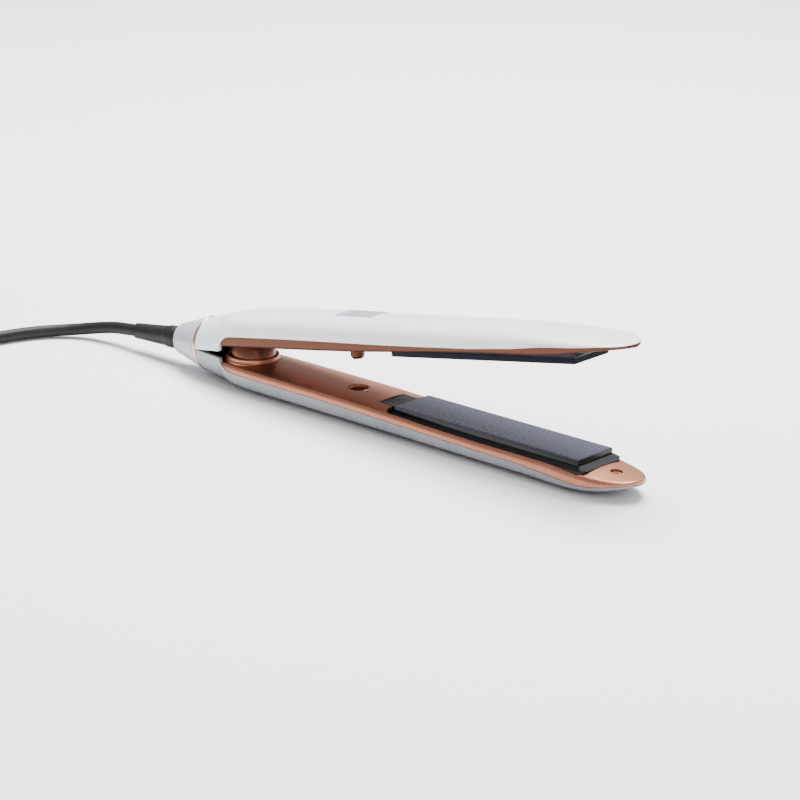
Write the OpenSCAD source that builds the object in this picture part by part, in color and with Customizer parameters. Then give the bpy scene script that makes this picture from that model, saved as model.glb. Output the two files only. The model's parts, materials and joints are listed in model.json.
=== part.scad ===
// Flat iron. Two arms open on a hinge inside a shared rear cap, and a spring boss
// between them pushes them apart. Each arm is a white shell closed by a moulded inner
// cover, with a black frame in which a heated plate floats. The mains cord leaves the
// rear cap through a swivelling strain relief.
// The origin lies on the resting surface, straight below the hinge axis; +X runs along
// the lower arm to its tip. Each arm is drawn with its meeting plane at z = 0 and its
// outside towards -Z, and is then put in place.

/* [Arms] */
// Hinge axis to the tip of an arm
tip_x = 268; // [264:1:276]
// Width of an arm at its widest
arm_w = 34.4; // [34:0.2:36]
// Depth of one arm, from the meeting plane to its outside
arm_d = 15.5; // [15.5:0.5:17]
// Angle between the arms when the spring holds them open
open_angle = 10.4; // [8:0.1:11]
// Wall of the outer shells
shell_wall = 2; // [1.6:0.1:2.2]
// Wall of the inner covers
cover_wall = 1.5; // [1.2:0.1:1.6]

/* [Plates] */
// Hinge axis to the rear edge of a plate
plate_x = 132; // [128:1:134]
// Length of a plate
plate_l = 110; // [105:1:111]
// Width of a plate
plate_w = 25; // [24:0.5:25]

/* [Hinge and boss] */
// Radius of the hinge pin
pin_r = 2; // [1.5:0.25:2]
// Radial clearance round the hinge pin
pin_gap = 0.05; // [0.03:0.01:0.08]
// Hinge axis to the centre of the spring boss
boss_x = 26; // [25.5:0.5:27]
// Radius of the spring boss above the lower cover
boss_r = 13.4; // [13.2:0.1:13.6]

/* [Handle] */
// Hinge axis to the alignment peg
peg_x = 98; // [96:0.5:100]
// Radius of the alignment peg
peg_r = 3.4; // [3:0.1:3.5]
// Hinge axis to the middle of the display window
display_x = 104; // [100:0.5:106]
// Length of the display window
display_l = 25; // [22:0.5:28]
// Width of the display window
display_w = 13; // [10:0.5:14]
// Hinge axis to the first of the three keys
key_x = 56; // [54:0.5:58]
// Distance from one key to the next
key_pitch = 12; // [11:0.5:13]
// Travel of a key
key_travel = 0.5; // [0.3:0.1:0.6]

/* [Rear cap and cord] */
// Radius of the rear cap where the arms meet it
rear_r = 14; // [14:0.25:14.5]
// Length of the rear cap behind the trim ring
cap_l = 21.5; // [21:0.5:23]
// Radius of the strain relief where it leaves the cap
relief_r = 5.8; // [5.4:0.1:5.9]
// Length of the strain relief outside the cap
relief_l = 34; // [30:1:36]
// Diameter of the mains cord
cord_d = 6.5; // [6:0.1:6.8]

/* [Hidden] */

// Colours of the finished pieces
white_c = "#e9edf0";
rose_c = "#b9785a";
black_c = "#17171b";
plate_c = "#4b4a5c";
board_c = "#2f6b45";
steel_c = "#b8bcc2";

// The arm's outline along its length
rear_x = -1.3;                  // rear edge of the shells at the meeting plane
nose_x = 225;                   // start of the rounded nose
window_x = 18;                  // rear edge of the side window in a shell
window_run = 10;                // length of that window's rounded corner
full_x = 48;                    // the arm has its full width from here on
edge_gap = 0.15;                // half the gap between the closed shells
seam = 0.1;                     // gap between a shell's edge and its cover
flat_over = 0.3;                // how far the round bottom would pass the flat one
hump = 3.2;                     // how much deeper than the lower arm the upper one is behind the plate
cover_x = 20;                   // rear end of the covers
crown = 1.7;                    // height of the deck's middle above its edges
steps = 18;                     // steps round one section

cover_inset = 0.4;              // how far a cover's flank stands in from the shell
deck_inset = 1.8;               // width of the rounded flank beside the deck
floor_z = -9.8;                 // top of the chassis floor
floor_t = 1.2;                  // thickness of the chassis floor
ear_r = 3.6;                    // radius of the hinge ears
ear_t = 2.2;                    // thickness of a hinge ear
lower_ear_in = 7.8;             // inner face of the lower arm's ears
upper_ear_in = 5.1;             // inner face of the upper arm's ears
yoke_w = 4.6;                   // half width of the cap's yoke between them
screw_r = 1.3;                  // radius of the screws
tab_screw_x = plate_x - 8.7;    // screw that holds the black frame
tab_x = plate_x - 13;           // rear edge of the frame's screw tab
tab_w = 8.7;                    // half width of that tab
tab_z = -1.9;                   // top of that tab
frame_end = 4.5;                // how far the frame reaches past each end of the plate
frame_w = 15.2;                 // half width of the frame
frame_z = -7.5;                 // underside of the frame
step_z = -2.9;                  // frame's top, beside the plate
rim_z = -4.6;                   // frame's top, at its outer edge
lip_z = -5.1;                   // underside of the lip that holds the plate in
flange_w = 13.6;                // half width of the plate's flange
plate_bottom = -6.3;            // underside of the plate
clamp_z = -8.6;                 // underside of the heater clamp
nose_screw_x = 254;             // screw in the nose of a cover
nose_seat_z = -7.3;             // seat under that screw's head
cup_r = 13.4;                   // spring cup below the deck
cup_bore = 12.6;                // bore of the spring cup
flare_r = 14.2;                 // flared foot of the spring cup on the deck
cup_top = 0.8;                  // rim of the spring cup
cup_floor = -8.4;               // floor of the spring cup
post_r = 11.4;                  // spring post
post_end = 6.6;                 // how far the post passes the meeting plane
peg_end = 4.3;                  // how far the peg passes the meeting plane
socket_r = 5.3;                 // outside of the peg's socket
glass_z = -15.9;                // inner face of the display window
key_r = 3.2;                    // radius of a key
key_top = -0.4;                 // key's top, just proud of the deck
key_bottom = -3.6;              // key's underside
ring_x = 1.7;                   // front of the trim ring, behind the hinge
ring_t = 1.3;                   // thickness of the trim ring
cap_x = ring_x + ring_t;        // front of the rear cap, behind the hinge
cap_back = cap_x + cap_l;       // rear end of the cap
cap_seat = cap_back - 5.5;      // seat that the swivel turns against
collar_in = 10.7;               // bore of the cap's collar

function ease(a, b, x) = let (t = min(1, max(0, (x - a) / (b - a)))) t * t * (3 - 2 * t);
function mix(a, b, t) = a + (b - a) * t;
function nose(x) = max(0, x - nose_x) / (tip_x - nose_x);

// Half width of an arm at x, and the outer depth of the lower and of the upper one
function swell(x) = 1 - pow(1 - min(1, max(0, (x - rear_x) / (full_x - rear_x))), 2.2);
function half_w(x) = mix(rear_r, arm_w / 2, swell(x)) * sqrt(1 - pow(nose(x), 3.2));
function lower_depth(x) = mix(rear_r, arm_d + flat_over, swell(x))
    - (arm_d + flat_over - 8.7) * pow(nose(x), 2.4);
function upper_depth(x) = mix(rear_r, arm_d + hump, swell(x)) - (hump - 0.9) * ease(60, 190, x)
    - (arm_d - 7.4) * pow(max(0, x - 190) / (tip_x - 190), 1.7);

// Depth of a shell's edge along the sides, with its rounded rear corner
function lower_edge(x) = 6.1 + 2.1 * ease(80, 210, x) + 2.3 * ease(210, 245, x) - 2.4 * ease(245, tip_x, x);
function upper_edge(x) = 7.8 - 1.2 * ease(50, 150, x) + 2 * ease(195, 232, x) - 0.9 * ease(255, tip_x, x);
function side_edge(x, upper) = upper ? upper_edge(x) : lower_edge(x);
function corner(x) = let (t = min(1, max(0, (x - window_x) / window_run))) sqrt(1 - pow(1 - t, 2));
function edge(x, upper) = edge_gap + max(0, -x) * tan(open_angle / 2)
    + (side_edge(x, upper) - edge_gap) * corner(x);

// Depth of the middle of a cover's deck
function deck(x) = -1 - 2 * ease(95, 190, x) - 3.2 * ease(222, tip_x, x);
function squareness(x) = mix(1, 0.8, ease(rear_x, 40, x));

// Places along the arm where its section is drawn
corner_xs = [for (u = [0:15:90]) window_x + window_run * (1 - cos(u))];
nose_xs = [for (u = [0:9:81]) nose_x + (tip_x - nose_x) * sin(u), nose_x + (tip_x - nose_x) * 0.998];
shell_xs = concat([rear_x, 3, 8, 13], corner_xs, [33, 40, 48], [for (x = [60:25:210]) x], nose_xs);
cover_xs = [for (x = shell_xs) if (x > cover_x - 1) max(x, cover_x)];

// Skins a list of rings into one closed solid. In each ring, point j lies across from the j-th last one
module skin_rings(rings) {
    n = len(rings);
    m = len(rings[0]);
    points = [for (ring = rings) each ring];
    sides = [for (i = [0:n - 2], j = [0:m - 1]) let (k = (j + 1) % m)
        each [[i * m + j, i * m + k, (i + 1) * m + j], [i * m + k, (i + 1) * m + k, (i + 1) * m + j]]];
    cap = [for (j = [0:m / 2 - 2]) let (a = m - 1 - j, b = m - 2 - j)
        each j < m / 4 ? [[j, j + 1, a], [j + 1, b, a]] : [[j, j + 1, b], [j, b, a]]];
    first = [for (t = cap) [t[2], t[1], t[0]]];
    last = [for (t = cap) [for (v = t) (n - 1) * m + v]];
    polyhedron(points, concat(sides, first, last), convexity = 8);
}

// Places a piece drawn in an arm's own frame on the lower arm, the upper arm or the rear cap
module on_lower() translate([0, 0, arm_d]) children();
module on_upper() translate([0, 0, arm_d]) rotate([0, -open_angle, 0]) mirror([0, 0, 1]) children();
module on_rear() translate([0, 0, arm_d]) rotate([0, -open_angle / 2, 0]) children();

// A block between two corners
module block(low, high) translate(low) cube(high - low);

// Turns a profile of [distance behind the hinge, radius] points round the rear cap's axis
module turned(profile) rotate([0, -90, 0]) rotate_extrude($fn = 96) polygon([for (p = profile) [p[1], p[0]]]);

// ---- Arms ----

// Half of a rounded section below z = -e, from +w round the bottom to -w
function bowl(w, d, e, k) = [for (i = [0:steps]) let (t = 180 * i / steps)
    [w * sign(cos(t)) * pow(abs(cos(t)), k), -e - (d - e) * pow(max(0, sin(t)), k)]];

// The rear edge leans, so that it stands parallel to the trim ring while the arms are open
function lean(x, z) = x - z * tan(open_angle / 2) * (1 - ease(rear_x, window_x, x));

// How hollow an arm is at x: 1 along its length and 0 in the solid tip
function hollow(x) = 1 - ease(tip_x - 9, tip_x - 3, x);

function shell_ring(x, upper) = let (
    e = edge(x, upper),
    d = upper ? upper_depth(x) : lower_depth(x),
    k = squareness(x),
    outside = bowl(half_w(x), d, e, k),
    inside = bowl(max(0.2, half_w(x) - shell_wall), mix(e, max(e, d - shell_wall), hollow(x)), e, k))
    [for (p = concat(outside, [for (i = [steps:-1:0]) inside[i]]))
        let (z = upper ? p[1] : max(p[1], -arm_d)) [lean(x, z), p[0], z]];

module arm_shell(upper) skin_rings([for (x = shell_xs) shell_ring(x, upper)]);

// Flank and crowned deck of a cover, from +w up over the deck to -w
function arch(w, wd, e, zc, zd) = let (
    flank = [for (u = [0:22.5:90]) [wd + (w - wd) * pow(cos(u), 0.8), -e + (e + zd) * pow(sin(u), 0.8)]],
    top = [for (i = [1:9]) let (v = 1 - i / 5) [wd * v, zc - (zc - zd) * v * v]])
    concat(flank, top, [for (i = [len(flank) - 1:-1:0]) [-flank[i][0], flank[i][1]]]);

function cover_ring(x, upper) = let (
    w = half_w(x) - cover_inset * min(1, half_w(x) / 6),
    wd = w - min(deck_inset, 0.4 * w),
    e = edge(x, upper) - seam,
    zc = deck(x),
    zd = zc - crown * pow(wd / (arm_w / 2), 2),
    outside = arch(w, wd, e, zc, zd),
    drop = mix(1, cover_wall / (e + zd), hollow(x)) * (e + zd),
    inside = arch(max(0.2 * w, w - cover_wall), max(0.1 * w, wd - cover_wall),
        e, min(zc - cover_wall, mix(-e, zc - drop, hollow(x))), max(-e, zd - drop)))
    [for (p = concat(outside, [for (i = [len(inside) - 1:-1:0]) inside[i]])) [x, -p[0], p[1]]];

module cover_skin(upper) skin_rings([for (x = cover_xs) cover_ring(x, upper)]);

// Upright hole through a cover or a shell
module well(x, r) translate([x, 0, -20]) cylinder(r = r, h = 25, $fn = 64);

// Opening that the black frame fills
module frame_opening() {
    gap = 0.2;
    translate([0, 0, -12]) linear_extrude(16) frame_outline(gap);
    block([tab_x - gap, -tab_w - gap, -12], [plate_x, tab_w + gap, 4]);
}

module lower_shell() color(white_c) on_lower() arm_shell(false);

module lower_cover() color(rose_c) on_lower() difference() {
    cover_skin(false);
    frame_opening();
    well(boss_x, flare_r + 0.2);
    well(peg_x, socket_r + 0.1);
    well(nose_screw_x, 2.9);
}

module upper_shell() color(white_c) on_upper() difference() {
    arm_shell(true);
    block([display_x - display_l / 2 - 0.15, -display_w / 2 - 0.15, -22],
        [display_x + display_l / 2 + 0.15, display_w / 2 + 0.15, -12.5]);
}

module upper_cover() color(rose_c) on_upper() difference() {
    cover_skin(true);
    frame_opening();
    well(boss_x, post_r + 0.1);
    well(peg_x, peg_r + 0.1);
    well(nose_screw_x, 2.9);
    for (i = [0:2]) well(key_x + i * key_pitch, key_r + 0.25);
}

// Inner chassis: hinge ears, a plate that closes the arm's mouth, a floor and the frame's rails
module chassis(ear_in, bore, boss_hole) {
    ear_out = ear_in + ear_t;
    bottom = floor_z - floor_t;
    difference() {
        union() {
            for (side = [-1, 1]) {
                translate([0, side * (ear_in + ear_t / 2), 0]) rotate([90, 0, 0])
                    cylinder(r = ear_r, h = ear_t, center = true, $fn = 64);
                block([0, min(side * ear_in, side * ear_out), -ear_r], [12, max(side * ear_in, side * ear_out), 0]);
            }
            block([2, -10, -6.3], [12, 10, -3.4]);
            block([9, -4, bottom], [12, 4, -3.4]);
            block([9, -4, bottom], [32, 4, floor_z]);
            block([30, -8.5, bottom], [222, 8.5, floor_z]);
            block([118, -12.6, bottom], [222, 12.6, floor_z]);
            block([134, -13.7, floor_z - 0.4], [222, 13.7, floor_z]);
            for (side = [-1, 1]) block([134, side * 13.85 - 0.3, floor_z - 0.1], [222, side * 13.85 + 0.3, frame_z]);
            difference() {
                block([4.4, -11.4, -2.8], [19, 11.4, -1.6]);
                well(boss_x, boss_hole);
            }
        }
        rotate([90, 0, 0]) cylinder(r = bore, h = 30, center = true, $fn = 64);
        translate([tab_screw_x, 0, floor_z - 5]) cylinder(r = screw_r, h = 8, $fn = 32);
        translate([peg_x, 0, floor_z - 5]) cylinder(r = peg_r, h = 8, $fn = 64);
    }
}

// Post under the nose of a cover that its screw bites into
module nose_block(bottom) difference() {
    translate([nose_screw_x, 0, bottom]) cylinder(r = 3.8, h = nose_seat_z - bottom, $fn = 48);
    translate([nose_screw_x, 0, bottom - 1]) cylinder(r = screw_r, h = 8, $fn = 32);
}

module lower_chassis() color(black_c) on_lower() chassis(lower_ear_in, pin_r, flare_r + 0.2);
module upper_chassis() color(black_c) on_upper() chassis(upper_ear_in, pin_r + pin_gap, post_r + 0.2);
module lower_nose_block() color(black_c) on_lower() nose_block(-10.2);
module upper_nose_block() color(black_c) on_upper() nose_block(-8.3);

// ---- Black frame and floating plate ----

// Plan of the black frame, wider by extra all round
module frame_outline(extra = 0) {
    r = 4.5;
    x0 = plate_x - frame_end - extra;
    x1 = plate_x + plate_l + frame_end + extra;
    w = frame_w + extra;
    translate([x0, -w + r]) square([x1 - x0, 2 * (w - r)]);
    translate([x0 + r, -w]) square([x1 - x0 - 2 * r, 2 * w]);
    for (x = [x0 + r, x1 - r], y = [-w + r, w - r]) translate([x, y]) circle(r = r, $fn = 48);
}

module plate_frame() color(black_c) {
    x0 = plate_x - frame_end;
    x1 = plate_x + plate_l + frame_end;
    inner_w = plate_w / 2 + 0.4;
    difference() {
        union() {
            intersection() {
                translate([0, 0, frame_z]) linear_extrude(8) frame_outline();
                translate([x0, 0, 0]) rotate([90, 0, 90]) linear_extrude(x1 - x0)
                    polygon([[0.6 - frame_w, frame_z], [frame_w - 0.6, frame_z], [frame_w, -6.2], [frame_w, rim_z],
                        [inner_w, step_z], [-inner_w, step_z], [-frame_w, rim_z], [-frame_w, -6.2]]);
                translate([0, frame_w, 0]) rotate([90, 0, 0]) linear_extrude(2 * frame_w)
                    polygon([[x0, frame_z], [x1, frame_z], [x1, rim_z], [x1 - frame_end + 0.6, step_z],
                        [x0 + frame_end - 0.6, step_z], [x0, rim_z]]);
            }
            block([tab_x, -tab_w, -4.6], [plate_x - 1.5, tab_w, tab_z]);
        }
        block([plate_x - 0.4, -inner_w, -12], [plate_x + plate_l + 0.4, inner_w, 2]);
        block([plate_x - 2, -flange_w - 0.4, -12], [plate_x + plate_l + 2, flange_w + 0.4, lip_z]);
        translate([tab_screw_x, 0, -12]) cylinder(r = screw_r, h = 12, $fn = 32);
        translate([tab_screw_x, 0, tab_z - 1]) cylinder(r = 2.4, h = 3, $fn = 48);
    }
}

// Heated plate: bevelled working face above a flange that hooks under the frame
module heated_plate() color(plate_c) {
    w = plate_w / 2;
    face = -0.05;
    bevel = 0.5;
    translate([plate_x, 0, 0]) rotate([90, 0, 90]) linear_extrude(plate_l)
        polygon([[-flange_w, plate_bottom], [flange_w, plate_bottom], [flange_w, lip_z - 0.05], [w, lip_z - 0.05],
            [w, face - bevel], [w - bevel, face], [bevel - w, face], [-w, face - bevel], [-w, lip_z - 0.05],
            [-flange_w, lip_z - 0.05]]);
}

module heater() color("gold") block([plate_x + 6, -5, plate_bottom - 1.6], [plate_x + 96, 5, plate_bottom]);

module clamp() color(steel_c) {
    block([plate_x + 4, -8, clamp_z], [plate_x + 98, 8, plate_bottom - 1.6]);
    for (side = [-1, 1]) block([plate_x + 10, side * 7.4 - 0.6, clamp_z], [plate_x + 92, side * 7.4 + 0.6, plate_bottom]);
}

// Sensor bead lying under the front end of a plate
module bead(r, l) translate([plate_x + 99, 0, plate_bottom - r]) rotate([0, 90, 0]) cylinder(r = r, h = l, $fn = 32);

// Silicone pads that push a floating plate outwards
module float_pads() color("tomato") for (x = [plate_x + 12, plate_x + 90], y = [-4.5, 4.5])
    translate([x, y, floor_z]) cylinder(r = 2.5, h = clamp_z - floor_z, $fn = 32);

// Countersunk screw with a cross slot, from the underside of its head down to bottom
module screw(x, seat, bottom, head_r) color(steel_c) difference() {
    union() {
        translate([x, 0, seat]) cylinder(r = head_r, h = 0.9, $fn = 48);
        translate([x, 0, bottom]) cylinder(r = screw_r, h = seat - bottom, $fn = 32);
    }
    for (turn = [0, 90]) translate([x, 0, seat + 0.7]) rotate(turn) cube([head_r * 1.2, 0.5, 0.8], center = true);
}

// Two insulated wires from the handle to a heater
module leads() color("firebrick") for (y = [-11, 11]) translate([50, y, floor_z + 1])
    rotate([0, 90, 0]) cylinder(r = 0.8, h = plate_x - 42, $fn = 24);

module lower_frame() on_lower() plate_frame();
module lower_frame_screw() on_lower() screw(tab_screw_x, tab_z - 1, floor_z - floor_t, 2.2);
module lower_cover_screw() on_lower() screw(nose_screw_x, nose_seat_z, -10, 2.6);
module lower_float_pads() on_lower() float_pads();
module lower_plate() on_lower() heated_plate();
module lower_heater() on_lower() heater();
module lower_clamp() on_lower() clamp();
module lower_thermistor() color("black") on_lower() bead(1, 7);
module lower_leads() on_lower() leads();

module upper_frame() on_upper() plate_frame();
module upper_frame_screw() on_upper() screw(tab_screw_x, tab_z - 1, floor_z - floor_t, 2.2);
module upper_cover_screw() on_upper() screw(nose_screw_x, nose_seat_z, -8.2, 2.6);
module upper_float_pads() on_upper() float_pads();
module upper_plate() on_upper() heated_plate();
module upper_heater() on_upper() heater();
module upper_clamp() on_upper() clamp();
module thermal_fuse() color(steel_c) on_upper() bead(1.2, 9);
module upper_leads() on_upper() leads();

// ---- Hinge, spring boss and peg ----

module hinge_pin() color(steel_c) on_lower() rotate([90, 0, 0])
    cylinder(r = pin_r, h = 2 * (lower_ear_in + ear_t + 0.3), center = true, $fn = 64);

// Flared cup on the lower arm that the upper arm's post slides into
module spring_cup() color(rose_c) on_lower() translate([boss_x, 0, 0]) rotate_extrude($fn = 96)
    polygon(concat([[0, floor_z], [cup_r - 2.4, floor_z], [cup_r, floor_z + 3], [cup_r, -2.6], [flare_r, -2.6], [flare_r, -1.4]],
        [for (u = [15:15:90]) [flare_r - (flare_r - boss_r) * sin(u), -1.4 + 1.6 * (1 - cos(u))]],
        [[boss_r, cup_top - 0.3], [boss_r - 0.3, cup_top], [cup_bore, cup_top], [cup_bore, -6.4], [cup_bore - 2.2, cup_floor],
            [0, cup_floor]]));

module spring_post() color(rose_c) on_upper() translate([boss_x, 0, 0]) rotate_extrude($fn = 96)
    polygon([[0, floor_z], [post_r, floor_z], [post_r, post_end - 0.4], [post_r - 0.4, post_end],
        [post_r - 1.5, post_end], [post_r - 1.5, -2], [0, -2]]);

// Compression spring wound round the boss's axis
module arm_spring() color(steel_c) on_lower() {
    wire = 0.7;
    coil = 7.5;
    turns = 4;
    rings_per_turn = 20;
    low = cup_floor + wire;
    high = 5;
    skin_rings([for (i = [0:turns * rings_per_turn]) let (
        a = 360 * i / rings_per_turn,
        z = mix(low, high, i / (turns * rings_per_turn)))
        [for (j = [0:5]) let (r = coil + wire * cos(60 * j))
            [boss_x - 0.2 + r * cos(a), r * sin(a), z + wire * sin(60 * j)]]]);
}

module alignment_peg() color(rose_c) on_upper() translate([peg_x, 0, 0]) rotate_extrude($fn = 64)
    polygon([[0, floor_z - floor_t], [peg_r, floor_z - floor_t], [peg_r, peg_end - 1.2],
        [peg_r - 0.9, peg_end], [0, peg_end]]);

module peg_socket() color(rose_c) on_lower() translate([peg_x, 0, 0]) rotate_extrude($fn = 64)
    polygon([[0, -7.4], [socket_r, -7.4], [socket_r, -1.4], [peg_r + 1.4, -1.1], [peg_r + 0.8, -2],
        [peg_r + 0.8, -6.4], [0, -6.4]]);

// ---- Handle electronics ----

module mains_board() color(board_c) on_lower() {
    block([60, -9, floor_z + 2], [91, 9, floor_z + 3.2]);
    for (x = [63, 88], y = [-7, 7]) translate([x, y, floor_z]) cylinder(r = 1.2, h = 2, $fn = 24);
    translate([66, 0, floor_z + 3.2]) cylinder(r = 3, h = 3, $fn = 48);
    block([72, -6, floor_z + 3.2], [80, 0, floor_z + 5.6]);
    block([82, -3, floor_z + 3.2], [88, 6, floor_z + 5]);
}

module terminal_block() color("ivory") on_lower() difference() {
    block([47, -7, floor_z], [56, 7, floor_z + 5]);
    for (y = [-3.5, 3.5]) translate([51.5, y, floor_z + 2.5]) cylinder(r = 1.6, h = 4, $fn = 32);
}

module control_board() color(board_c) on_upper() {
    block([46, -8, floor_z - floor_t - 1.2], [116, 8, floor_z - floor_t]);
    block([52, -4, floor_z - floor_t - 2.4], [62, 4, floor_z - floor_t - 1.2]);
}

module display_module() color("dimgray") on_upper()
    block([display_x - 11, -5.5, glass_z + 0.3], [display_x + 11, 5.5, floor_z - floor_t - 1.2]);

module display_window() color("#b9b6cc") on_upper()
    block([display_x - display_l / 2, -display_w / 2, glass_z - 1.6], [display_x + display_l / 2, display_w / 2, glass_z]);

module key_board() color(board_c) on_upper() {
    block([key_x - 7, -6, -7.4], [key_x + 2 * key_pitch + 5, 6, -6.4]);
    for (x = [key_x - 5, key_x + 2 * key_pitch + 3], y = [-4, 4])
        translate([x, y, floor_z]) cylinder(r = 1.2, h = -7.4 - floor_z, $fn = 24);
}

module key_switches() color("black") on_upper() for (i = [0:2])
    block([key_x + i * key_pitch - 2.5, -2.5, -6.4], [key_x + i * key_pitch + 2.5, 2.5, key_bottom - key_travel - 0.1]);

// Round key held by a flange under the upper cover
module key(i) color(rose_c) on_upper() translate([key_x + i * key_pitch, 0, 0]) rotate_extrude($fn = 64)
    polygon([[0, key_bottom], [key_r + 0.6, key_bottom], [key_r + 0.6, key_bottom + 0.7], [key_r, key_bottom + 0.7],
        [key_r, key_top - 0.4], [key_r - 0.4, key_top], [0, key_top]]);
module power_key() key(0);
module plus_key() key(1);
module minus_key() key(2);

// ---- Rear cap and cord ----

module trim_ring() color(rose_c) on_rear()
    turned([[ring_x, rear_r - 2], [ring_x, rear_r], [ring_x + 0.3, rear_r + 0.15], [ring_x + ring_t - 0.3, rear_r + 0.15],
        [ring_x + ring_t, rear_r], [ring_x + ring_t, rear_r - 2]]);

// Tapered cap with a collar inside the arms, a yoke on the hinge pin and the swivel's seat
module rear_cap() color(white_c) on_rear() {
    difference() {
        union() {
            turned(concat([[cap_x, collar_in], [cap_x, rear_r]],
                [for (u = [0:15:90]) [cap_back - 3 + 3 * sin(u), relief_r + 0.5 + 2.3 * cos(u)]],
                [[cap_back, relief_r + 0.3], [cap_seat, relief_r + 0.3], [cap_seat, 7.6], [cap_x + 3, 11], [cap_x + 3, collar_in]]));
            turned([[-0.2, collar_in], [-0.2, collar_in + 0.6], [cap_x + 0.4, collar_in + 0.6], [cap_x + 0.4, collar_in]]);
            turned([[cap_x + 3.5, 0], [cap_x + 3.5, 10.6], [cap_x + 5.5, 10], [cap_x + 5.5, 0]]);
            rotate([90, 0, 0]) cylinder(r = ear_r, h = 2 * yoke_w, center = true, $fn = 64);
            block([-cap_x - 4, -yoke_w, -3.4], [0, yoke_w, 3.4]);
        }
        rotate([90, 0, 0]) cylinder(r = pin_r + pin_gap, h = 30, center = true, $fn = 64);
        for (y = [-7.2, 7.2]) translate([-cap_x - 7, y, 0]) rotate([0, 90, 0]) cylinder(r = 1.8, h = 8, $fn = 32);
    }
}

// Flange inside the cap that keeps the strain relief in and lets it turn
module swivel_drum() color(black_c) on_rear()
    turned([[cap_seat - 2.7, 0], [cap_seat - 2.7, 7.1], [cap_seat - 0.3, 7.1], [cap_seat - 0.3, 0]]);

// Rubber sleeve round the cord where it leaves the cap
module strain_relief() color(black_c) on_rear()
    turned([[cap_seat - 0.3, 0], [cap_seat - 0.3, relief_r], [cap_back + 9, relief_r], [cap_back + 10, relief_r - 0.5],
        [cap_back + relief_l, cord_d / 2 + 0.8], [cap_back + relief_l, 0]]);

// The lead's way from the strain relief down to the surface and across to the coil
lead_bend = [-150.5, -47.7];
lead_bend_r = 30;
lead_route = concat([[-58.9, 0, 10.1], [-66, 0, 9.4], [-75, -0.3, 8.4], [-84, -1.6, 6.8], [-92, -4, 5.2],
    [-99.5, -8.5, 4], [-106, -14.5, 3.4], [-111, -22, 3.3], [-115, -31, 3.3], [-118, -41, 3.3]],
    [for (a = [8:14:78]) [lead_bend[0] + lead_bend_r * cos(a), lead_bend[1] - lead_bend_r * sin(a), 3.3]],
    [[-150.5, -77.7, 3.3], [-183, -77.7, 3.3]]);
coil_centre = [-208, -32.5];
coil_r = 32;
coil_h = 13.2;
plug_at = [-238.2, -49.5];
plug_turn = 187;

function along(route, i) = let (
    a = route[max(0, i - 1)],
    b = route[min(len(route) - 1, i + 1)])
    (b - a) / norm(b - a);

// Sweeps a cord along a route, with one eight-sided ring at each point
module swept_cord(route, r) skin_rings([for (i = [0:len(route) - 1]) let (
    t = along(route, i),
    side = cross(t, [0, 0, 1]) / norm(cross(t, [0, 0, 1])),
    up = cross(side, t))
    [for (j = [0:7]) route[i] + r * (cos(45 * j) * side + sin(45 * j) * up)]]);

module cord_lead() color(black_c) swept_cord(lead_route, cord_d / 2);

// Two layers of three turns, as the ring they fill
module cord_coil() color(black_c) translate([coil_centre[0], coil_centre[1], 0.05]) rotate_extrude($fn = 96)
    polygon([[coil_r - 3.3, 0], [coil_r + 16.5, 0], [coil_r + 16.5, coil_h], [coil_r - 3.3, coil_h]]);

module cord_tie() color(black_c) translate([coil_centre[0], coil_centre[1], 0]) difference() {
    block([-4, coil_r - 5, 0], [4, coil_r + 18, coil_h + 1.2]);
    block([-5, coil_r - 4, -1], [5, coil_r + 17, coil_h + 0.2]);
}

// The plug lies on the coil; its lead enters at the local origin and it points along local -Y
module plug_place() translate([plug_at[0], plug_at[1], coil_h]) rotate(plug_turn) children();

module plug_body() color(black_c) plug_place() {
    block([-12, -36, 0.1], [12, -20, 14]);
    block([-8, -20, 1.1], [8, 0, 13]);
}

module plug_pins() color(steel_c) plug_place() for (x = [-6, 6])
    translate([x, -36, 7]) rotate([90, 0, 0]) cylinder(r = 2, h = 19, $fn = 32);

lower_shell();
lower_cover();
lower_chassis();
lower_frame();
lower_frame_screw();
lower_float_pads();
lower_cover_screw();
spring_cup();
hinge_pin();
mains_board();
terminal_block();
lower_plate();
lower_heater();
lower_clamp();
lower_thermistor();
upper_shell();
upper_cover();
upper_chassis();
upper_frame();
upper_frame_screw();
upper_float_pads();
upper_cover_screw();
spring_post();
alignment_peg();
control_board();
display_module();
display_window();
key_board();
key_switches();
upper_plate();
upper_heater();
upper_clamp();
thermal_fuse();
lower_leads();
upper_leads();
lower_nose_block();
upper_nose_block();
peg_socket();
power_key();
plus_key();
minus_key();
rear_cap();
trim_ring();
strain_relief();
swivel_drum();
arm_spring();
cord_lead();
cord_coil();
cord_tie();
plug_body();
plug_pins();
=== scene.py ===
"""Flat iron with two spring-opened arms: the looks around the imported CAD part."""
import json
import math

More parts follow.
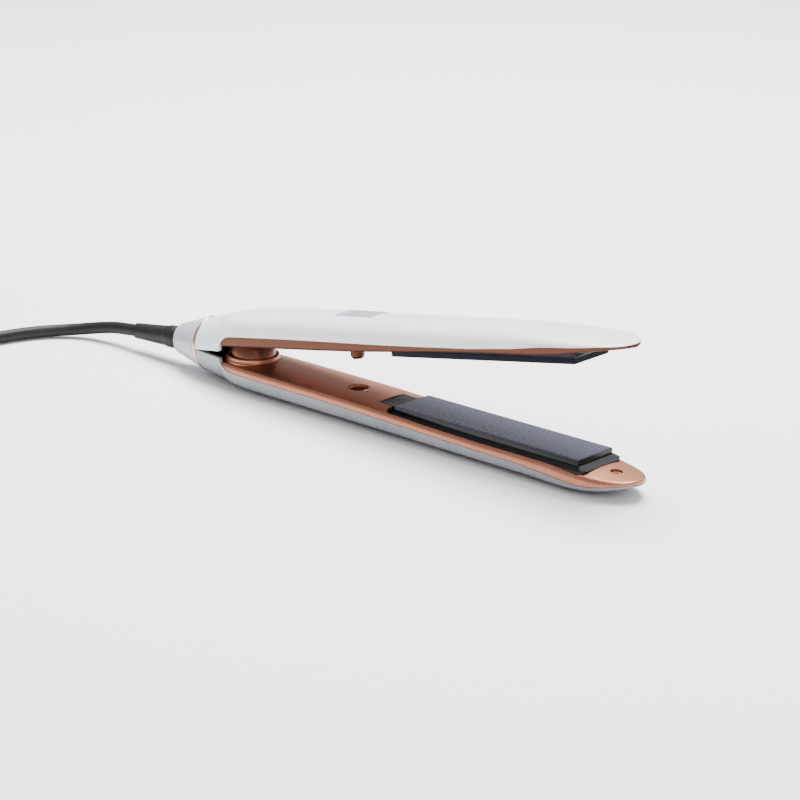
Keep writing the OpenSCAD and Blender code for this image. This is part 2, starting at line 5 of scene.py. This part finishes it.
import bmesh
import bpy
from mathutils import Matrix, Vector


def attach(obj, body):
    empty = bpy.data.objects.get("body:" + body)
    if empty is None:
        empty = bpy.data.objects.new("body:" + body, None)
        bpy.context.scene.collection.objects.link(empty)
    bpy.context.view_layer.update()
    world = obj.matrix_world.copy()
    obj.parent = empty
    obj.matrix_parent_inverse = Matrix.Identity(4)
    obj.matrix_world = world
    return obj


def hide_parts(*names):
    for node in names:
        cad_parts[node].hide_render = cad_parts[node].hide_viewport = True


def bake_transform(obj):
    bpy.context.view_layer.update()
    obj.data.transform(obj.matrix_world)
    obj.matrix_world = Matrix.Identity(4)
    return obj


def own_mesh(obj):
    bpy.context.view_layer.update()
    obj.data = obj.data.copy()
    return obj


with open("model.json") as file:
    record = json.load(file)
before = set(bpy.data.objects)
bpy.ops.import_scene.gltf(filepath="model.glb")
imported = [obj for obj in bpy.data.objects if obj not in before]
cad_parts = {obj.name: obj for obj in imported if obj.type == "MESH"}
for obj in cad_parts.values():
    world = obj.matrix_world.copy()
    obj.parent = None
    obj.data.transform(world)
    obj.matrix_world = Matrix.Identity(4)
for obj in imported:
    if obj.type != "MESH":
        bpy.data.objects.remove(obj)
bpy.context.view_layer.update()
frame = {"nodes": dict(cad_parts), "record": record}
MM = 0.001

# ---------------------------------------------------------------- camera

AZIMUTH, ELEVATION = math.radians(44.21), math.radians(17.34)
DISTANCE = 1.4
TARGET = Vector((0.0382, 0.0, 0.0155))
BACK = Vector((math.sin(AZIMUTH) * math.cos(ELEVATION), -math.cos(AZIMUTH) * math.cos(ELEVATION),
               math.sin(ELEVATION)))

camera_data = bpy.data.cameras.new("camera")
camera_data.lens = 126.6
camera_data.sensor_width = 36.0
camera_data.shift_x = 0.1618
camera_data.shift_y = -0.0508
camera_data.clip_end = 20.0
camera = bpy.data.objects.new("camera", camera_data)
camera.location = TARGET + DISTANCE * BACK
camera.rotation_euler = BACK.to_track_quat("Z", "Y").to_euler()
bpy.context.scene.collection.objects.link(camera)
bpy.context.scene.camera = camera


# ---------------------------------------------------------------- materials

def shader(name, color, roughness, metallic=0.0, **sockets):
    """A material with one Principled shader; sockets are its other inputs, by name."""
    material = bpy.data.materials.new(name)
    material.use_nodes = True
    bsdf = material.node_tree.nodes["Principled BSDF"]
    bsdf.inputs["Base Color"].default_value = (*color, 1.0)
    bsdf.inputs["Roughness"].default_value = roughness
    bsdf.inputs["Metallic"].default_value = metallic
    for key, value in sockets.items():
        bsdf.inputs[key.replace("_", " ")].default_value = value
    return material


def noise(material, scale, detail=2.0):
    """Noise over the object's own coordinates."""
    tree = material.node_tree
    place = tree.nodes.new("ShaderNodeTexCoord")
    texture = tree.nodes.new("ShaderNodeTexNoise")
    texture.inputs["Scale"].default_value = scale
    texture.inputs["Detail"].default_value = detail
    tree.links.new(place.outputs["Object"], texture.inputs["Vector"])
    return texture.outputs["Fac"]


def mottle(material, fac, dark, light, low=0.35, high=0.65):
    """Base colour that runs from dark to light with fac."""
    tree = material.node_tree
    ramp = tree.nodes.new("ShaderNodeValToRGB")
    ramp.color_ramp.elements[0].position = low
    ramp.color_ramp.elements[0].color = (*dark, 1.0)
    ramp.color_ramp.elements[1].position = high
    ramp.color_ramp.elements[1].color = (*light, 1.0)
    tree.links.new(fac, ramp.inputs["Fac"])
    tree.links.new(ramp.outputs["Color"], tree.nodes["Principled BSDF"].inputs["Base Color"])


def roughen(material, fac, low, high):
    """Roughness that runs from low to high with fac."""
    tree = material.node_tree
    spread = tree.nodes.new("ShaderNodeMapRange")
    spread.inputs["To Min"].default_value = low
    spread.inputs["To Max"].default_value = high
    tree.links.new(fac, spread.inputs["Value"])
    tree.links.new(spread.outputs["Result"], tree.nodes["Principled BSDF"].inputs["Roughness"])


def bump(material, fac, strength, distance):
    """Fine relief from fac."""
    tree = material.node_tree
    node = tree.nodes.new("ShaderNodeBump")
    node.inputs["Strength"].default_value = strength
    node.inputs["Distance"].default_value = distance
    tree.links.new(fac, node.inputs["Height"])
    tree.links.new(node.outputs["Normal"], tree.nodes["Principled BSDF"].inputs["Normal"])


def pearl(name, dark, light, roughness=0.34):
    """Satin pearl lacquer: a faint cloudy tint and a soft coat."""
    material = shader(name, light, roughness, Coat_Weight=0.25, Coat_Roughness=0.2)
    mottle(material, noise(material, 18.0), dark, light)
    roughen(material, noise(material, 60.0), roughness - 0.04, roughness + 0.05)
    return material


def rose_metal(name, dark, light, roughness=0.36, metallic=0.85):
    """Satin rose-gold paint with a fine metallic grain."""
    material = shader(name, light, roughness, metallic)
    grain = noise(material, 2600.0, 3.0)
    mottle(material, grain, dark, light, 0.3, 0.7)
    roughen(material, noise(material, 900.0), roughness - 0.05, roughness + 0.07)
    bump(material, grain, 0.12, 0.00003)
    return material


def grainy(name, dark, light, roughness, metallic=0.0, scale=700.0, relief=0.00004):
    """Moulded or sawn surface with a fine even grain."""
    material = shader(name, light, roughness, metallic)
    fac = noise(material, scale, 3.0)
    mottle(material, fac, dark, light)
    roughen(material, fac, roughness - 0.05, roughness + 0.06)
    bump(material, fac, 0.15, relief)
    return material


def matte_black(name, dark, light, roughness, scale=700.0, relief=0.00004, specular=0.22):
    """Black moulding with a weak sheen."""
    material = grainy(name, dark, light, roughness, 0.0, scale, relief)
    material.node_tree.nodes["Principled BSDF"].inputs["Specular IOR Level"].default_value = specular
    return material


WHITE = pearl("pearl_white", (0.76, 0.80, 0.86), (0.82, 0.85, 0.90))
# Painted shade: a dark grey pearl for the lower shell, standing in for the shade on its flanks.
PEARL_PAINTED_SHADE = pearl("pearl_painted_shade", (0.21, 0.222, 0.25), (0.25, 0.262, 0.29), 0.28)
CAP_WHITE = pearl("pearl_cap", (0.38, 0.40, 0.46), (0.44, 0.465, 0.53))
ROSE = rose_metal("rose_gold", (0.32, 0.120, 0.068), (0.52, 0.225, 0.140))
# Painted shade: a dark rose for the spring post, which stands in the shade between the arms.
ROSE_POST_PAINTED_SHADE = rose_metal("rose_post_painted_shade", (0.10, 0.034, 0.020), (0.18, 0.066, 0.040), 0.3)
TRIM = rose_metal("rose_trim", (0.62, 0.38, 0.29), (0.78, 0.50, 0.39), 0.24, 1.0)
# Painted shade: a darker rose for the upper cover, its peg and its screw, standing in for the shade under the upper
# arm.
ROSE_PAINTED_SHADE = rose_metal("rose_gold_painted_shade", (0.062, 0.019, 0.010), (0.110, 0.038, 0.021), 0.36)
BLACK = matte_black("black_satin", (0.003, 0.003, 0.004), (0.007, 0.007, 0.009), 0.32)
PLATE = grainy("plate_coating", (0.075, 0.075, 0.120), (0.095, 0.095, 0.150), 0.26, 0.45, 1800.0, 0.00001)
# Painted shade: a near-black copy of the plate coating for the upper plate, which faces down into shade.
PLATE_PAINTED_SHADE = matte_black("plate_coating_painted_shade", (0.006, 0.006, 0.011), (0.010, 0.010, 0.017), 0.42, 1800.0,
                          0.00001, 0.05)
PLATE_SIDE = matte_black("plate_side", (0.003, 0.003, 0.004), (0.006, 0.006, 0.008), 0.2, 900.0, 0.00001)
DARK_STEEL = grainy("dark_screw", (0.03, 0.03, 0.035), (0.06, 0.06, 0.065), 0.35, 1.0, 500.0)
STEEL = grainy("steel", (0.40, 0.41, 0.43), (0.55, 0.56, 0.58), 0.3, 1.0, 500.0)
ALUMINIUM = grainy("aluminium", (0.60, 0.61, 0.63), (0.72, 0.73, 0.75), 0.35, 1.0, 500.0)
FOIL = grainy("heater_film", (0.55, 0.36, 0.08), (0.70, 0.48, 0.14), 0.3, 0.3, 400.0)
SILICONE = grainy("silicone", (0.60, 0.17, 0.10), (0.72, 0.24, 0.15), 0.6)
BOARD = grainy("circuit_board", (0.05, 0.22, 0.11), (0.09, 0.32, 0.17), 0.4)
IVORY = grainy("ivory", (0.74, 0.70, 0.58), (0.84, 0.80, 0.68), 0.45)
COMPONENT = grainy("component", (0.012, 0.012, 0.013), (0.026, 0.026, 0.028), 0.4)
WIRE = grainy("wire_sleeve", (0.36, 0.04, 0.03), (0.5, 0.07, 0.05), 0.5)
RUBBER = matte_black("black_rubber", (0.006, 0.006, 0.007), (0.013, 0.013, 0.014), 0.5)
PLUG = matte_black("plug_plastic", (0.008, 0.008, 0.009), (0.016, 0.016, 0.017), 0.42)
GLASS = shader("display_window", (0.62, 0.60, 0.70), 0.16, 0.3, Coat_Weight=0.6, Coat_Roughness=0.08)
mottle(GLASS, noise(GLASS, 40.0), (0.58, 0.56, 0.66), (0.66, 0.64, 0.74))

SLOT_MATERIALS = {
    "white_shell": WHITE, "rose_cover": ROSE, "rose_post": ROSE_POST_PAINTED_SHADE, "rose_trim": TRIM, "black_plastic": BLACK,
    "coated_plate": PLATE, "screw_steel": STEEL, "clamp_aluminium": ALUMINIUM, "heater_foil": FOIL,
    "silicone": SILICONE, "board_green": BOARD, "ivory_terminal": IVORY, "black_component": COMPONENT,
    "wire_red": WIRE, "display_glass": GLASS, "black_rubber": RUBBER, "plug_plastic": PLUG,
}
# Nodes whose material differs from their slot's: painted shade on the lower shell, the upper cover with its peg and
# screw, and the upper plate; a darker pearl on the rear cap; rose paint and dark steel on the others.
NODE_MATERIALS = {
    "rear_cap": CAP_WHITE, "lower_shell": PEARL_PAINTED_SHADE, "upper_cover": ROSE_PAINTED_SHADE, "upper_plate": PLATE_PAINTED_SHADE,
    "spring_cup": ROSE, "alignment_peg": ROSE_PAINTED_SHADE, "peg_socket": ROSE, "lower_cover_screw": ROSE,
    "upper_cover_screw": ROSE_PAINTED_SHADE, "lower_frame_screw": DARK_STEEL, "upper_frame_screw": DARK_STEEL,
}
SLOTS = {part["node"]: part["material_slot"] for part in frame["record"]["subparts"]}


def finish_of(node_name):
    """The material of a node: its own, or its slot's."""
    return NODE_MATERIALS.get(node_name, SLOT_MATERIALS[SLOTS[node_name]])


for node_name in SLOTS:
    materials = frame["nodes"][node_name].data.materials
    materials.clear()
    materials.append(finish_of(node_name))


# ---------------------------------------------------------------- finished pieces

SHARP = math.radians(32.0)


def finished(node_name, body, edge=0.0):
    """A finished piece in a CAD node's place: smooth curved faces, and edges rounded by edge millimetres.
    A plate's side faces, those steeper than about 45 degrees, get a near-black material, darker than its top."""
    material = finish_of(node_name)
    side_material = PLATE_SIDE if material is PLATE else None
    node = frame["nodes"][node_name]
    mesh = node.data.copy()
    mesh.name = node_name + "_finished"
    form = bmesh.new()
    form.from_mesh(mesh)
    bmesh.ops.remove_doubles(form, verts=form.verts, dist=0.000002)
    if edge:
        bmesh.ops.dissolve_limit(form, angle_limit=math.radians(0.6), verts=form.verts, edges=form.edges)
    form.to_mesh(mesh)
    form.free()
    mesh.materials.clear()
    mesh.materials.append(material)
    if side_material:
        mesh.materials.append(side_material)
    for polygon in mesh.polygons:
        polygon.use_smooth = True
        polygon.material_index = 1 if side_material and abs(polygon.normal.z) < 0.7 else 0
    mesh.set_sharp_from_angle(angle=SHARP)
    obj = bpy.data.objects.new(mesh.name, mesh)
    obj.matrix_world = node.matrix_world.copy()
    bpy.context.scene.collection.objects.link(obj)
    if edge:
        rounding = obj.modifiers.new("rounding", "BEVEL")
        rounding.width = edge * MM
        rounding.segments = 2
        rounding.limit_method = "ANGLE"
        rounding.angle_limit = SHARP
        rounding.harden_normals = True
    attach(obj, body)
    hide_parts(node_name)
    return obj


# Each finished piece's body, and the rounding of its edges in millimetres
SMOOTHED = {
    "lower_shell": ("lower_arm", 0), "lower_cover": ("lower_arm", 0), "upper_shell": ("upper_arm", 0),
    "upper_cover": ("upper_arm", 0), "rear_cap": ("rear_cap", 0), "spring_cup": ("lower_arm", 0),
    "spring_post": ("upper_arm", 0), "strain_relief": ("cord_swivel", 0), "trim_ring": ("rear_cap", 0),
    "lower_plate": ("lower_floating_plate", 0.3), "upper_plate": ("upper_floating_plate", 0.3),
    "lower_frame": ("lower_arm", 0.15), "upper_frame": ("upper_arm", 0.15),
    "display_window": ("upper_arm", 0.1), "plug_body": ("lower_arm", 1.6), "cord_tie": ("lower_arm", 0.4),
}
for node_name, (body, edge) in SMOOTHED.items():
    finished(node_name, body, edge)

arm_spring = finished("arm_spring", "lower_arm")
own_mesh(arm_spring)
lower_pads = finished("lower_float_pads", "lower_arm")
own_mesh(lower_pads)
upper_pads = finished("upper_float_pads", "upper_arm")
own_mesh(upper_pads)

# ---------------------------------------------------------------- cord

# In millimetres, from the strain relief down to the floor, until the lead is out of view
LEAD = [(-58.3, 0, 10.2), (-66, 0, 9.4), (-75, -0.3, 8.4), (-84, -1.6, 6.8), (-92, -4, 5.2), (-99.5, -8.5, 4),
        (-106, -14.5, 3.4), (-111, -22, 3.3), (-115, -31, 3.3), (-118, -41, 3.3)]
COIL_CENTRE, COIL_RADIUS, PITCH, CORD_RADIUS = (-208.0, -32.5), 32.0, 6.6, 3.2
BEND_CENTRE, BEND_RADIUS, COIL_ENTRY = (-150.5, -47.7), 30.0, -90
FLOOR_HEIGHT, PLUG_HEIGHT = 3.3, 20.25
# Degrees of the coil's turning where the lead leaves it, and of the last bend into the plug
LIFT_OFF, TAIL_TURN = 2153, 90


def step(value, start, end):
    """Smooth step from 0 at start to 1 at end."""
    t = min(1.0, max(0.0, (value - start) / (end - start)))
    return t * t * (3 - 2 * t)


def on_circle(centre, radius, degrees):
    """Point of a level circle."""
    angle = math.radians(degrees)
    return (centre[0] + radius * math.cos(angle), centre[1] + radius * math.sin(angle))


def coil_point(turned):
    """Point of the coil after turning that many degrees: three turns inwards, and three outwards on top of them."""
    inward = 2 - step(turned, 280, 360) - step(turned, 640, 720)
    outward = step(turned, 1240, 1320) + step(turned, 1600, 1680)
    height = FLOOR_HEIGHT + PITCH * (step(turned, 960, 1020) + step(turned, 1920, 1980))
    return (*on_circle(COIL_CENTRE, COIL_RADIUS + PITCH * (inward + outward), COIL_ENTRY - turned), height)


TAIL_CENTRE = on_circle(COIL_CENTRE, 2 * PITCH, COIL_ENTRY - LIFT_OFF)
TAIL_HEIGHT = FLOOR_HEIGHT + 2 * PITCH


def tail_point(turned):
    """Point of the last bend, which turns in across the coil and rises to the plug's middle."""
    height = TAIL_HEIGHT + (PLUG_HEIGHT - TAIL_HEIGHT) * step(turned, 10, TAIL_TURN)
    return (*on_circle(TAIL_CENTRE, COIL_RADIUS, COIL_ENTRY - LIFT_OFF - turned), height)


route = LEAD + [(*on_circle(BEND_CENTRE, BEND_RADIUS, -a), FLOOR_HEIGHT) for a in range(8, 80, 14)]
route += [(x, BEND_CENTRE[1] - BEND_RADIUS, FLOOR_HEIGHT) for x in (-150.5, -164, -178, -192)]
route += [coil_point(a) for a in range(0, 2146, 15)] + [tail_point(a) for a in range(0, TAIL_TURN + 1, 15)]


def catmull(points, pieces=4):
    """Points along a smooth curve through the given ones."""
    ends = [2 * Vector(points[0]) - Vector(points[1])] + [Vector(p) for p in points]
    ends.append(2 * Vector(points[-1]) - Vector(points[-2]))
    out = []
    for i in range(1, len(ends) - 2):
        a, b, c, d = ends[i - 1:i + 3]
        for k in range(pieces):
            t = k / pieces
            out.append(0.5 * (2 * b + (c - a) * t + (2 * a - 5 * b + 4 * c - d) * t * t
                              + (3 * b - a - 3 * c + d) * t ** 3))
    return out + [ends[-2]]


def tube(name, points, radius, material, sides=16):
    """A round tube along the points, in millimetres, closed at both ends."""
    vertices, faces = [], []
    side = Vector((0, 1, 0))
    for i, point in enumerate(points):
        heading = (points[min(i + 1, len(points) - 1)] - points[max(i - 1, 0)]).normalized()
        side = (side - heading * side.dot(heading)).normalized()
        up = heading.cross(side)
        for k in range(sides):
            turn = 2 * math.pi * k / sides
            vertices.append((point + radius * (math.cos(turn) * side + math.sin(turn) * up)) * MM)
        if i:
            low, high = (i - 1) * sides, i * sides
            faces += [(low + k, low + (k + 1) % sides, high + (k + 1) % sides, high + k) for k in range(sides)]
    last = (len(points) - 1) * sides
    faces += [tuple(reversed(range(sides))), tuple(range(last, last + sides))]
    mesh = bpy.data.meshes.new(name)
    mesh.from_pydata([tuple(v) for v in vertices], [], faces)
    mesh.materials.append(material)
    for polygon in mesh.polygons:
        polygon.use_smooth = True
    mesh.set_sharp_from_angle(angle=math.radians(50))
    obj = bpy.data.objects.new(name, mesh)
    bpy.context.scene.collection.objects.link(obj)
    return obj


fine_route = catmull(route)
mains_cord = tube("mains_cord", fine_route, CORD_RADIUS, RUBBER)
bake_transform(mains_cord)
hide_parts("cord_lead", "cord_coil")

# ---------------------------------------------------------------- floor and light

bpy.ops.mesh.primitive_plane_add(size=8.0, location=(0, 0, -0.0004))
floor = bpy.context.object
floor.name = "floor"
floor.data.materials.append(shader("floor_white", (0.93, 0.93, 0.93), 0.7))

world = bpy.data.worlds.new("world")
world.use_nodes = True
world.node_tree.nodes["Background"].inputs["Color"].default_value = (1.0, 1.0, 1.0, 1.0)
world.node_tree.nodes["Background"].inputs["Strength"].default_value = 0.55
bpy.context.scene.world = world


def soft_light(name, spot, aim, size, power):
    """A large square area light at spot, pointing at aim."""
    data = bpy.data.lights.new(name, "AREA")
    data.size = size
    data.energy = power
    obj = bpy.data.objects.new(name, data)
    obj.location = spot
    obj.rotation_euler = (Vector(spot) - Vector(aim)).to_track_quat("Z", "Y").to_euler()
    bpy.context.scene.collection.objects.link(obj)


MIDDLE = (0.1, 0.0, 0.03)
soft_light("key_light", (-0.2, 0.5, 1.6), MIDDLE, 1.2, 125.0)
soft_light("side_light", (1.2, -0.6, 0.9), MIDDLE, 0.8, 7.0)
